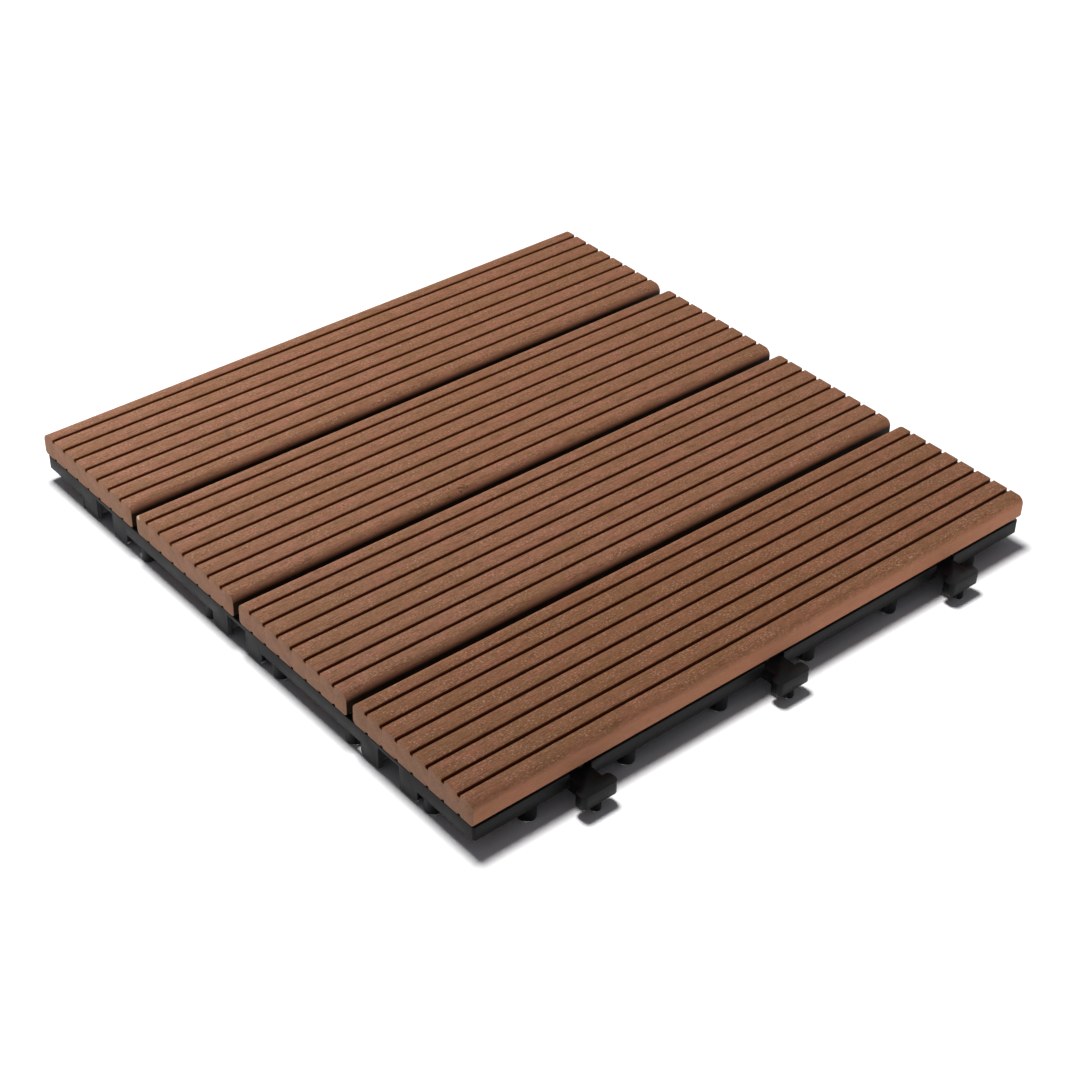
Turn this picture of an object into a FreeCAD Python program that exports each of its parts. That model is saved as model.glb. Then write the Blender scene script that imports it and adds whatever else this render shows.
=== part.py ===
import FreeCAD, Part
import os
import Sketcher

# An interlocking deck tile: four grooved composite slats screwed from below to one moulded grid.
# X runs along the slats, Y across them, Z up, and the feet stand on Z = 0 round the tile's centre.

SLATS = 4
CELLS = 12
CLIPS = 3
GROOVES = 7
SCREW_GROOVES = 3
SCREW_ROWS = 2
SCREWS_ACROSS = 2
SCREW_CELLS = 8

SIZES = {
    # Slats
    "slat_length": 300.0,
    "slat_width": 72.0,
    "slat_gap": 4.0,
    "slat_thickness": 10.5,
    "nose_radius": 3.5,
    "heel_radius": 1.8,
    "groove_margin": 8.4,
    "groove_width": 1.7,
    "groove_depth": 1.5,
    "groove_lip": 0.15,
    "keel_depth": 0.9,
    # Rim and ribs of the grid
    "slat_overhang": 0.5,
    "rim_lift": 6.9,
    "rim_height": 6.5,
    "rim_wall": 2.2,
    "corner_radius": 1.2,
    "seat_step": 1.1,
    "rib_wall": 1.8,
    "light_rib_wall": 1.4,
    "light_rib_height": 4.2,
    # Feet
    "foot_radius": 3.7,
    "foot_setback": 0.1,
    # Clips that join one tile to the next
    "clip_offset": 1.7,
    "joint_gap": 3.5,
    "tab_drop": 2.0,
    "tab_thickness": 6.0,
    "tab_wall": 1.7,
    "tab_root": 5.0,
    "neck_width": 10.6,
    "neck_play": 0.3,
    "head_width": 17.4,
    "head_depth": 6.0,
    "head_radius": 2.2,
    "peg_radius": 2.1,
    # Sockets that take a neighbour's tabs
    "slot_play": 1.15,
    "socket_play": 0.75,
    "socket_depth_play": 0.5,
    "socket_roof_play": 0.3,
    "socket_wall": 1.8,
    "skirt_width": 35.0,
    "skirt_lift": 1.0,
    "skirt_radius": 2.5,
    # Screws and the bosses that they pass through
    "boss_wall": 0.8,
    "shank_radius": 2.0,
    "shank_play": 0.2,
    "bite_play": 0.05,
    "screw_cover": 2.5,
    "tip_length": 2.4,
    "tip_radius": 0.5,
    "cap_radius": 3.8,
    "cap_height": 2.6,
    "cap_play": 0.4,
    "cap_cover": 0.6,
}

# Lengths worked out from the sizes above
BASE_X = "(sizes.slat_length - 2 * sizes.slat_overhang)"
SLATS_Y = f"({SLATS} * sizes.slat_width + {SLATS - 1} * sizes.slat_gap)"
BASE_Y = f"({SLATS_Y} - 2 * sizes.slat_overhang)"
FOOT_INSET = "(sizes.foot_radius + sizes.foot_setback)"
CELL_X = f"(({BASE_X} - 2 * {FOOT_INSET}) / {CELLS})"
CELL_Y = f"(({BASE_Y} - 2 * {FOOT_INSET}) / {CELLS})"
RIM_TOP = "(sizes.rim_lift + sizes.rim_height)"
SEAT = f"({RIM_TOP} + sizes.seat_step)"
TAB_TOP = f"({RIM_TOP} - sizes.tab_drop)"
SLAT_PITCH = "(sizes.slat_width + sizes.slat_gap)"
GROOVE_PITCH = f"((sizes.slat_width - 2 * sizes.groove_margin) / {GROOVES - 1})"
CLIP_PITCH_X = f"(({BASE_X} + sizes.joint_gap) / {CLIPS})"
CLIP_PITCH_Y = f"(({BASE_Y} + sizes.joint_gap) / {CLIPS})"
SOCKET_WIDTH = "(sizes.head_width + 2 * sizes.socket_play)"
HOUSING_WIDTH = f"({SOCKET_WIDTH} + 2 * sizes.socket_wall)"
NECK_LENGTH = "(sizes.joint_gap + sizes.rim_wall + sizes.neck_play)"
TAB_REACH = f"({NECK_LENGTH} + sizes.head_depth)"
SLOT_WIDTH = "(sizes.neck_width + 2 * sizes.slot_play)"
POCKET_END = f"({TAB_REACH} - sizes.joint_gap + sizes.socket_depth_play)"
SOCKET_ROOF = f"({TAB_TOP} + sizes.socket_roof_play)"
TAB_UNDERSIDE = f"({TAB_TOP} - sizes.tab_thickness)"
TAB_ROOT = "(sizes.rim_wall + sizes.tab_root)"
RECESS_RADIUS = "(sizes.cap_radius + sizes.cap_play)"
BOSS_RADIUS = f"({RECESS_RADIUS} + sizes.boss_wall)"
RECESS_DEPTH = "(sizes.cap_height + sizes.cap_cover)"
SCREW_SEAT = f"(sizes.rim_lift + {RECESS_DEPTH})"
SCREW_LENGTH = f"({SEAT} + sizes.slat_thickness - sizes.screw_cover - {SCREW_SEAT})"
SCREW_PITCH = f"({SCREW_CELLS} * {CELL_X})"
SCREW_SPREAD = f"({SCREW_GROOVES} * {GROOVE_PITCH})"

# How near an edge's middle must lie to the point that names the edge, in mm
NEAR = 0.01


# The driving sizes, one to a row of the sheet
def add_sizes(doc):
    sheet = doc.addObject("Spreadsheet::Sheet", "sizes")
    for row, (name, value) in enumerate(SIZES.items(), start=1):
        sheet.set(f"A{row}", name)
        sheet.set(f"B{row}", str(value))
        sheet.setAlias(f"B{row}", name)
    doc.recompute()


# A body with the label that also names its file
def add_body(doc, label):
    body = doc.addObject("PartDesign::Body", label)
    body.Label = label
    return body


# One of the body's own origin planes or axes
def origin_item(body, role):
    for item in body.Origin.OriginFeatures:
        if item.Role == role:
            return item


# A sketch on an origin plane, moved along that plane's normal by an expression
def add_sketch(body, name, plane="XY_Plane", height=None):
    sketch = body.newObject("Sketcher::SketchObject", name)
    sketch.AttachmentSupport = [(origin_item(body, plane), "")]
    sketch.MapMode = "FlatFace"
    if height:
        sketch.setExpression("AttachmentOffset.Base.z", height)
    return sketch


# A dimension of the sketch that follows an expression
def dimension(sketch, kind, first, second, expression):
    index = sketch.addConstraint(Sketcher.Constraint(kind, *first, *second, 1.0))
    sketch.setExpression(f"Constraints[{index}]", expression)


# The radius of an arc or circle that follows an expression
def radius(sketch, edge, expression):
    index = sketch.addConstraint(Sketcher.Constraint("Radius", edge, 1.0))
    sketch.setExpression(f"Constraints[{index}]", expression)


# An upright rectangle given by its centre and its two sides
def add_rectangle(sketch, centre_x, centre_y, width, depth):
    corners = [(0, 0), (10, 0), (10, 10), (0, 10)]
    points = [FreeCAD.Vector(x, y, 0) for x, y in corners]
    sides = [Part.LineSegment(points[k], points[(k + 1) % 4]) for k in range(4)]
    first = sketch.addGeometry(sides, False)[0]
    for k in range(4):
        following = first + (k + 1) % 4
        sketch.addConstraint(Sketcher.Constraint("Coincident", first + k, 2, following, 1))
        direction = "Horizontal" if k % 2 == 0 else "Vertical"
        sketch.addConstraint(Sketcher.Constraint(direction, first + k))
    origin = (-1, 1)
    dimension(sketch, "DistanceX", origin, (first, 1), f"{centre_x} - {width} / 2")
    dimension(sketch, "DistanceY", origin, (first, 1), f"{centre_y} - {depth} / 2")
    dimension(sketch, "DistanceX", (first, 1), (first, 2), width)
    dimension(sketch, "DistanceY", (first + 1, 1), (first + 1, 2), depth)


# A circle given by its centre and radius
def add_circle(sketch, centre_x, centre_y, size):
    circle = Part.Circle(FreeCAD.Vector(1, 1, 0), FreeCAD.Vector(0, 0, 1), 1)
    edge = sketch.addGeometry(circle, False)
    dimension(sketch, "DistanceX", (-1, 1), (edge, 3), centre_x)
    dimension(sketch, "DistanceY", (-1, 1), (edge, 3), centre_y)
    radius(sketch, edge, size)


# A sketch raised by a length along its normal
def add_pad(body, name, sketch, length):
    pad = body.newObject("PartDesign::Pad", name)
    pad.Profile = sketch
    pad.setExpression("Length", length)
    return pad


# A sketch cut downwards, or upwards when reversed
def add_pocket(body, name, sketch, length, reverse=False):
    pocket = body.newObject("PartDesign::Pocket", name)
    pocket.Profile = sketch
    pocket.setExpression("Length", length)
    pocket.Reversed = reverse
    return pocket


# Round pegs at the given places that stand on Z = 0
def add_pegs(body, name, places, size, height):
    sketch = add_sketch(body, f"{name}_outline")
    for centre_x, centre_y in places:
        add_circle(sketch, centre_x, centre_y, size)
    add_pad(body, name, sketch, height)


# The value of an expression in millimetres
def value(body, expression):
    result = body.evalExpression(expression)
    return float(getattr(result, "Value", result))


# The names of the edges whose middles lie at the given points
def edges_at(body, points):
    body.Document.recompute()
    places = [FreeCAD.Vector(*[value(body, part) for part in point]) for point in points]
    edges = enumerate(body.Tip.Shape.Edges, start=1)
    names = [f"Edge{k}" for k, edge in edges if lies_at(edge.CenterOfMass, places)]
    if len(names) != len(points):
        raise RuntimeError(f"{body.Label}: {len(names)} edges found for {len(points)} points")
    return names


# A rounding of the edges whose middles lie at the given points
def add_fillet(body, name, points, size):
    names = edges_at(body, points)
    base = body.Tip
    fillet = body.newObject("PartDesign::Fillet", name)
    fillet.Base = (base, names)
    fillet.setExpression("Radius", size)


# A bevel of the edges whose middles lie at the given points
def add_bevel(body, name, points, size):
    names = edges_at(body, points)
    base = body.Tip
    bevel = body.newObject("PartDesign::Chamfer", name)
    bevel.Base = (base, names)
    bevel.setExpression("Size", size)


# Whether a point lies at one of some places
def lies_at(point, places):
    return any(point.distanceToPoint(place) < NEAR for place in places)


# The numbers of the lines of a row that lie on both sides of its middle
def around_middle(count):
    return [k - (count - 1) / 2 for k in range(count)]


# The outer wall of the grid, open inside
def build_rim(body):
    sketch = add_sketch(body, "rim_outline", height="sizes.rim_lift")
    add_rectangle(sketch, "0", "0", BASE_X, BASE_Y)
    inner_x = f"({BASE_X} - 2 * sizes.rim_wall)"
    inner_y = f"({BASE_Y} - 2 * sizes.rim_wall)"
    add_rectangle(sketch, "0", "0", inner_x, inner_y)
    add_pad(body, "rim", sketch, "sizes.rim_height")
    middle = "sizes.rim_lift + sizes.rim_height / 2"
    sides = [(i, k) for i in (-1, 1) for k in (-1, 1)]
    corners = [(f"{i} * {BASE_X} / 2", f"{k} * {BASE_Y} / 2", middle) for i, k in sides]
    add_fillet(body, "rim_corners", corners, "sizes.corner_radius")


# The rib lines that also carry feet, counted in cells from the middle of the tile
ODD_LINES = range(1 - CELLS // 2, CELLS // 2, 2)


# Deep ribs across the slats, one to a cell, and lighter ones along them, one to two cells
def build_ribs(body):
    inner_y = f"({BASE_Y} - sizes.rim_wall)"
    cross = add_sketch(body, "cross_rib_outlines", height="sizes.rim_lift")
    for k in around_middle(CELLS - 1):
        add_rectangle(cross, f"{k} * {CELL_X}", "0", "sizes.rib_wall", inner_y)
    add_pad(body, "cross_ribs", cross, "sizes.rim_height")

    inner_x = f"({BASE_X} - sizes.rim_wall)"
    lift = f"{RIM_TOP} - sizes.light_rib_height"
    along = add_sketch(body, "long_rib_outlines", height=lift)
    for k in ODD_LINES:
        add_rectangle(along, "0", f"{k} * {CELL_Y}", inner_x, "sizes.light_rib_wall")
    add_pad(body, "long_ribs", along, "sizes.light_rib_height")


# Where a slat's middle lies across the tile, the first slat at the back
def slat_place(number):
    return f"{(SLATS + 1) / 2 - number} * {SLAT_PITCH}"


# The centres of one slat's screws, from the slat's own middle
def screw_places():
    rows = [f"{k} * {SCREW_PITCH}" for k in around_middle(SCREW_ROWS)]
    lines = [f"{k} * {SCREW_SPREAD}" for k in around_middle(SCREWS_ACROSS)]
    return [(row, line) for row in rows for line in lines]


# The centres of all the screws, from the tile's middle
def boss_places():
    slats = [slat_place(number) for number in range(1, SLATS + 1)]
    return [(row, f"({slat} + {line})") for slat in slats for row, line in screw_places()]


# Bosses that the slats rest on
def build_bosses(body):
    bosses = add_sketch(body, "boss_outlines", height="sizes.rim_lift")
    for centre in boss_places():
        add_circle(bosses, *centre, BOSS_RADIUS)
    add_pad(body, "bosses", bosses, "sizes.rim_height + sizes.seat_step")


# Each boss's screw hole, with a wider recess below for the screw's head
def cut_screw_holes(body):
    holes = add_sketch(body, "screw_hole_outlines", height="sizes.rim_lift")
    recesses = add_sketch(body, "head_recess_outlines", height="sizes.rim_lift")
    for centre in boss_places():
        add_circle(holes, *centre, "sizes.shank_radius + sizes.shank_play")
        add_circle(recesses, *centre, RECESS_RADIUS)
    add_pocket(body, "screw_holes", holes, "sizes.rim_height + sizes.seat_step", reverse=True)
    add_pocket(body, "head_recesses", recesses, RECESS_DEPTH, reverse=True)


# The sides of the grid that carry sockets and tabs: the axis they face along, and its sign
SOCKET_SIDES = [("x", -1), ("y", 1)]
TAB_SIDES = [("x", 1), ("y", -1)]


# Every clip of the given sides: its side, and the place of its middle along that side
def clips(sides):
    found = []
    for side in sides:
        pitch = CLIP_PITCH_Y if side[0] == "x" else CLIP_PITCH_X
        for k in around_middle(CLIPS):
            found.append((side, f"(sizes.clip_offset + {k} * {pitch})"))
    return found


# A point on a clip: how far it lies inside the side's face, and its place along the side
def clip_point(side, inside, along):
    axis, sign = side
    half = f"{BASE_X if axis == 'x' else BASE_Y} / 2"
    across = f"({sign} * ({half} - ({inside})))"
    return (across, along) if axis == "x" else (along, across)


# A plan rectangle on a clip, between two distances inside the side's face
def add_clip_rectangle(sketch, clip, near, far, width):
    side, middle = clip
    centre = clip_point(side, f"(({near}) + ({far})) / 2", middle)
    depth = f"(({far}) - ({near}))"
    size = (depth, width) if side[0] == "x" else (width, depth)
    add_rectangle(sketch, *centre, *size)


# Each socket's skirt, which carries the rim down to the ground, and the housing behind it
def build_housings(body):
    skirts = add_sketch(body, "skirt_outlines", height="sizes.skirt_lift")
    housings = add_sketch(body, "housing_outlines", height="sizes.skirt_lift")
    back = f"{POCKET_END} + sizes.socket_wall"
    for clip in clips(SOCKET_SIDES):
        add_clip_rectangle(skirts, clip, "0", "sizes.rim_wall", "sizes.skirt_width")
        add_clip_rectangle(housings, clip, "0", back, HOUSING_WIDTH)
    height = f"{RIM_TOP} - sizes.skirt_lift"
    add_pad(body, "skirts", skirts, height)
    add_pad(body, "housings", housings, height)
    corners = []
    for side, middle in clips(SOCKET_SIDES):
        for end in (-1, 1):
            along = f"{middle} + {end} * sizes.skirt_width / 2"
            corners.append((*clip_point(side, "sizes.rim_wall / 2", along), "sizes.skirt_lift"))
    add_fillet(body, "skirt_corners", corners, "sizes.skirt_radius")


# The pocket that takes a tab's head, and the slot through the rim for the tab's neck
def cut_sockets(body):
    pockets = add_sketch(body, "pocket_outlines", height="sizes.skirt_lift")
    slots = add_sketch(body, "slot_outlines", height="sizes.skirt_lift")
    for clip in clips(SOCKET_SIDES):
        add_clip_rectangle(pockets, clip, "sizes.rim_wall", POCKET_END, SOCKET_WIDTH)
        add_clip_rectangle(slots, clip, "-sizes.rim_wall", POCKET_END, SLOT_WIDTH)
    depth = f"{SOCKET_ROOF} - sizes.skirt_lift"
    add_pocket(body, "pockets", pockets, depth, reverse=True)
    add_pocket(body, "slots", slots, depth, reverse=True)


# Each tab's T-shaped plate: a neck out from the rim, and a wider head with rounded corners
def build_tabs(body):
    necks = add_sketch(body, "neck_outlines", height=TAB_UNDERSIDE)
    heads = add_sketch(body, "head_outlines", height=TAB_UNDERSIDE)
    corners = []
    for clip in clips(TAB_SIDES):
        add_clip_rectangle(necks, clip, f"-{NECK_LENGTH}", TAB_ROOT, "sizes.neck_width")
        add_clip_rectangle(heads, clip, f"-{TAB_REACH}", f"-{NECK_LENGTH}", "sizes.head_width")
        side, middle = clip
        for out in (NECK_LENGTH, TAB_REACH):
            for end in (-1, 1):
                along = f"{middle} + {end} * sizes.head_width / 2"
                level = f"{TAB_TOP} - sizes.tab_thickness / 2"
                corners.append((*clip_point(side, f"-{out}", along), level))
    add_pad(body, "necks", necks, "sizes.tab_thickness")
    add_pad(body, "heads", heads, "sizes.tab_thickness")
    add_fillet(body, "head_corners", corners, "sizes.head_radius")


# The tabs made hollow from below, and the rim cut down to the top of each neck
def cut_tabs(body):
    cores = add_sketch(body, "core_outlines", height=TAB_UNDERSIDE)
    notches = add_sketch(body, "notch_outlines", height=RIM_TOP)
    neck = "(sizes.neck_width - 2 * sizes.tab_wall)"
    head = "(sizes.head_width - 2 * sizes.tab_wall)"
    root_end = f"{TAB_ROOT} - sizes.tab_wall"
    head_start = f"-({NECK_LENGTH} + sizes.tab_wall)"
    head_end = f"-({TAB_REACH} - sizes.tab_wall)"
    for clip in clips(TAB_SIDES):
        add_clip_rectangle(cores, clip, "sizes.rim_wall", root_end, neck)
        add_clip_rectangle(cores, clip, f"-{NECK_LENGTH}", "0", neck)
        add_clip_rectangle(cores, clip, head_end, head_start, head)
        add_clip_rectangle(notches, clip, "0", "sizes.rim_wall", "sizes.neck_width")
    depth = "sizes.tab_thickness - sizes.tab_wall"
    add_pocket(body, "cores", cores, depth, reverse=True)
    add_pocket(body, "notches", notches, "sizes.tab_drop")


# The middles of the feet: a row under each side, one under each inner crossing of ribs that lies
# two cells or more inside the rim, and one at the tile's centre
def foot_places():
    edge = CELLS // 2
    sides = [(k, end) for k in ODD_LINES for end in (-edge, edge)]
    ends = [(end, k) for k in ODD_LINES for end in (-edge, edge)]
    inner = ODD_LINES[1:-1]
    crossings = [(i, k) for i in inner for k in inner]
    places = sides + ends + crossings + [(0, 0)]
    return [(f"{i} * {CELL_X}", f"{k} * {CELL_Y}") for i, k in places]


# The middles of the pegs under the tabs' heads
def peg_places():
    out = f"-({NECK_LENGTH} + sizes.head_depth / 2)"
    return [clip_point(side, out, middle) for side, middle in clips(TAB_SIDES)]


# Feet under the ribs and the rim, and a thinner peg that stands the same under each tab's head
def build_feet(body):
    add_pegs(body, "feet", foot_places(), "sizes.foot_radius", "sizes.rim_lift")
    add_pegs(body, "pegs", peg_places(), "sizes.peg_radius", f"{TAB_TOP} - sizes.tab_wall / 2")


# The moulded grid, with sockets on its left and back sides and tabs on its right and front
def build_base(doc):
    body = add_body(doc, "base_grid")
    build_rim(body)
    build_housings(body)
    build_tabs(body)
    build_bosses(body)
    build_ribs(body)
    cut_tabs(body)
    build_feet(body)
    cut_sockets(body)
    cut_screw_holes(body)


# Seven narrow grooves cut into the slat's top or underside from its end
def cut_grooves(body, name, level, depth):
    sketch = add_sketch(body, f"{name}_outlines", "YZ_Plane", "sizes.slat_length / 2")
    for k in around_middle(GROOVES):
        middle = f"{k} * {GROOVE_PITCH}"
        add_rectangle(sketch, middle, level, "sizes.groove_width", depth)
    add_pocket(body, name, sketch, "sizes.slat_length")


# A solid slat with grooves above and below, and blind holes for its screws
def build_slat(doc, number):
    body = add_body(doc, f"slat_{number}")
    name = f"slat_{number}"
    thickness = "sizes.slat_thickness"
    sketch = add_sketch(body, f"{name}_end", "YZ_Plane", "-sizes.slat_length / 2")
    add_rectangle(sketch, "0", f"{thickness} / 2", "sizes.slat_width", thickness)
    add_pad(body, f"{name}_blank", sketch, "sizes.slat_length")
    edges = [f"{side} * sizes.slat_width / 2" for side in (-1, 1)]
    add_fillet(body, f"{name}_nose", [("0", y, thickness) for y in edges], "sizes.nose_radius")
    add_fillet(body, f"{name}_heel", [("0", y, "0") for y in edges], "sizes.heel_radius")

    cut_grooves(body, f"{name}_grooves", f"{thickness} - sizes.groove_depth / 2", "sizes.groove_depth")
    lips = []
    for k in around_middle(GROOVES):
        for side in (-1, 1):
            lip = f"{k} * {GROOVE_PITCH} + {side} * sizes.groove_width / 2"
            lips.append(("0", lip, thickness))
    add_bevel(body, f"{name}_lips", lips, "sizes.groove_lip")
    cut_grooves(body, f"{name}_keels", "sizes.keel_depth / 2", "sizes.keel_depth")

    holes = add_sketch(body, f"{name}_hole_outlines")
    for centre in screw_places():
        add_circle(holes, *centre, "sizes.shank_radius + sizes.bite_play")
    depth = f"{SCREW_SEAT} + {SCREW_LENGTH} - {SEAT} + sizes.bite_play"
    add_pocket(body, f"{name}_holes", holes, depth, reverse=True)
    body.setExpression("Placement.Base.y", slat_place(number))
    body.setExpression("Placement.Base.z", SEAT)


# Half the outline of a pan-head screw, from the middle of its head to its point
SCREW_OUTLINE = [
    ("0", "-sizes.cap_height"),
    ("sizes.cap_radius", "-sizes.cap_height"),
    ("sizes.cap_radius", "0"),
    ("sizes.shank_radius", "0"),
    ("sizes.shank_radius", f"{SCREW_LENGTH} - sizes.tip_length"),
    ("sizes.tip_radius", SCREW_LENGTH),
    ("0", SCREW_LENGTH),
]


# The screws of one slat: one turned from its outline, and the others copied from it in rows
def build_screws(doc, number):
    body = add_body(doc, f"slat_{number}_screws")
    body.AllowCompound = True
    sketch = add_sketch(body, f"screw_{number}_outline", "XZ_Plane", f"{SCREW_SPREAD} / 2")
    sketch.setExpression("AttachmentOffset.Base.x", f"-{SCREW_ROWS - 1} / 2 * {SCREW_PITCH}")
    add_outline(sketch, SCREW_OUTLINE)
    screw = body.newObject("PartDesign::Revolution", f"screw_{number}")
    screw.Profile = sketch
    screw.ReferenceAxis = (sketch, ["V_Axis"])
    screw.Angle = 360
    row = add_row(body, f"screw_row_{number}", "X_Axis", SCREW_PITCH, SCREW_ROWS)
    pair = add_row(body, f"screw_pair_{number}", "Y_Axis", SCREW_SPREAD, SCREWS_ACROSS)
    add_copies(body, f"screws_{number}", screw, [row, pair])
    body.setExpression("Placement.Base.y", slat_place(number))
    body.setExpression("Placement.Base.z", SCREW_SEAT)


# One step of a pattern: a row of copies along an axis
def add_row(body, name, axis, pitch, count):
    row = body.newObject("PartDesign::LinearPattern", name)
    row.Direction = (origin_item(body, axis), [""])
    row.Occurrences = count
    row.setExpression("Length", f"{count - 1} * {pitch}")
    return row


# Copies of a feature made by several rows one after another
def add_copies(body, name, feature, rows):
    copies = body.newObject("PartDesign::MultiTransform", name)
    copies.Originals = [feature]
    copies.Transformations = rows
    body.Tip = copies


# A closed outline of straight lines through the given points
def add_outline(sketch, points):
    places = [FreeCAD.Vector(value(sketch, x), value(sketch, y), 0) for x, y in points]
    count = len(points)
    sides = [Part.LineSegment(places[k], places[(k + 1) % count]) for k in range(count)]
    first = sketch.addGeometry(sides, False)[0]
    for k in range(count):
        following = first + (k + 1) % count
        sketch.addConstraint(Sketcher.Constraint("Coincident", first + k, 2, following, 1))
    for k, (x, y) in enumerate(points):
        dimension(sketch, "DistanceX", (-1, 1), (first + k, 1), x)
        dimension(sketch, "DistanceY", (-1, 1), (first + k, 1), y)


def bodies(doc):
    return [item for item in doc.Objects if item.TypeId == "PartDesign::Body"]


# A check that every object was made and every body is sound
def check(doc):
    for item in doc.Objects:
        if "Invalid" in item.State or "Error" in item.State:
            raise RuntimeError(f"{item.Label} failed: {item.State}")
    for body in bodies(doc):
        if body.Shape.isNull() or not body.Shape.isValid():
            raise RuntimeError(f"{body.Label} has no sound shape")


doc = FreeCAD.newDocument("deck_tile")
add_sizes(doc)
build_base(doc)
for number in range(1, SLATS + 1):
    build_slat(doc, number)
    build_screws(doc, number)
doc.recompute()
check(doc)
os.makedirs("parts", exist_ok=True)
for body in bodies(doc):
    body.Shape.exportStep(f"parts/{body.Label}.step")
    print(f"{body.Label}: {len(body.Shape.Solids)} solids, {body.Shape.Volume / 1000:.1f} cm3")
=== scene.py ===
# %% [markdown]
# # An interlocking deck tile
# Four grooved slats of wood-plastic composite lie on a black moulded grid that clips to the next
# tile. This lesson dresses the tile's CAD model: it keeps every size and place, and gives each
# part the rounded edges, fibres and moulded skin that make it look real.

# %% Load the frame
import math

import bmesh
import bpy
from mathutils import Matrix, Vector


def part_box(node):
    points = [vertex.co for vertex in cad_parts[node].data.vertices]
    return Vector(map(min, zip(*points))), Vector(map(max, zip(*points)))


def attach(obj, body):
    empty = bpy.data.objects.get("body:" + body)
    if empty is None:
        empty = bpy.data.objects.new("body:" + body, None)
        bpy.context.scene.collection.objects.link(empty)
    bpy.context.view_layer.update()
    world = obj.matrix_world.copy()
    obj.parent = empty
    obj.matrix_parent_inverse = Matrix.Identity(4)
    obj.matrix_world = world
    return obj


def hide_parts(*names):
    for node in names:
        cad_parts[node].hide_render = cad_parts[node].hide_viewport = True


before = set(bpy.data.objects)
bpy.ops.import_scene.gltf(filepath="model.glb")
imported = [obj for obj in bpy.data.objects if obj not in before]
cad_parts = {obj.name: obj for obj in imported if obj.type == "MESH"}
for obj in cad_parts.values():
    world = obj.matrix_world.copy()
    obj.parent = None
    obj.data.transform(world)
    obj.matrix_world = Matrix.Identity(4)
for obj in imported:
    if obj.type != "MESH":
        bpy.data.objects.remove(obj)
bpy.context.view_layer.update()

MM = 0.001
print("nodes:", sorted(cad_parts))

# %% [markdown]
# ## Camera
# The camera stands low off the near corner, where the slats' ends and their long sides both show.
# Its place and lens were solved from the straight lines of the grooves, so here it only needs its
# turn round the tile, its height angle, a slight roll, and its distance as a position in metres.

# %% Camera
CAMERA_TURN = math.radians(-41.051)
CAMERA_HEIGHT = math.radians(36.749)
CAMERA_ROLL = math.radians(1.544)
CAMERA_PLACE = Vector((-0.490744, -0.573019, 0.548035))
CAMERA_LENS = 70.99


def camera_axes():
    turn, height, roll = CAMERA_TURN, CAMERA_HEIGHT, CAMERA_ROLL
    back = Vector((math.sin(turn), -math.cos(turn), 0)) * math.cos(height)
    back.z = math.sin(height)
    level = Vector((math.cos(turn), math.sin(turn), 0))
    upright = back.cross(level)
    right = level * math.cos(roll) + upright * math.sin(roll)
    up = upright * math.cos(roll) - level * math.sin(roll)
    return right, up, back


camera_data = bpy.data.cameras.new("camera")
camera_data.lens = CAMERA_LENS
camera = bpy.data.objects.new("camera", camera_data)
camera.matrix_world = Matrix.Translation(CAMERA_PLACE) @ Matrix(camera_axes()).transposed().to_4x4()
bpy.context.scene.collection.objects.link(camera)
bpy.context.scene.camera = camera
print("camera distance in mm:", round(CAMERA_PLACE.length / MM))

# %% [markdown]
# ## Helpers for meshes
# Every new piece is made the same way: shaped in a bmesh, turned into an object at the origin and
# given its finish. It rides on the tile's one body, and the CAD node it stands for is hidden.

# %% Mesh helpers
SHARP_ANGLE = math.radians(35)


def finish_piece(bm, name, node, materials):
    bmesh.ops.recalc_face_normals(bm, faces=bm.faces)
    mesh = bpy.data.meshes.new(name)
    bm.to_mesh(mesh)
    bm.free()
    for material in materials:
        mesh.materials.append(material)
    mesh.shade_smooth()
    mesh.set_sharp_from_angle(angle=SHARP_ANGLE)
    piece = bpy.data.objects.new(name, mesh)
    bpy.context.scene.collection.objects.link(piece)
    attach(piece, "root")
    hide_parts(node)
    print(name, "faces:", len(mesh.polygons))


def cut(bm, point, normal):
    geometry = bm.verts[:] + bm.edges[:] + bm.faces[:]
    bmesh.ops.bisect_plane(bm, geom=geometry, plane_co=point, plane_no=normal)


def round_corners(bm, corners, size, segments):
    bmesh.ops.bevel(
        bm, geom=corners, offset=size, segments=segments, profile=0.5,
        affect="VERTICES", material=-1, clamp_overlap=False,
    )


def round_edges(bm, edges, size, segments):
    bmesh.ops.bevel(
        bm, geom=edges, offset=size, segments=segments, profile=0.5,
        affect="EDGES", material=-1, clamp_overlap=False,
    )


# %% [markdown]
# ## Helpers for materials
# A material here is a Principled shader fed by a few patterns. These helpers add a node, join two
# sockets and read the place of a point on the object, so that each recipe below stays short.

# %% Material helpers
def new_material(name):
    material = bpy.data.materials.new(name)
    material.use_nodes = True
    tree = material.node_tree
    return material, tree, tree.nodes["Principled BSDF"]


def add_node(tree, kind, **settings):
    node = tree.nodes.new(kind)
    for key, value in settings.items():
        setattr(node, key, value)
    return node


def place_of(tree, stretch):
    place = add_node(tree, "ShaderNodeTexCoord")
    scaled = add_node(tree, "ShaderNodeMapping")
    scaled.inputs["Scale"].default_value = stretch
    tree.links.new(place.outputs["Object"], scaled.inputs["Vector"])
    return scaled.outputs["Vector"]


def noise(tree, vector, scale, detail=2.0, roughness=0.5):
    pattern = add_node(tree, "ShaderNodeTexNoise")
    pattern.inputs["Scale"].default_value = scale
    pattern.inputs["Detail"].default_value = detail
    pattern.inputs["Roughness"].default_value = roughness
    tree.links.new(vector, pattern.inputs["Vector"])
    return pattern.outputs["Fac"]


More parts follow.
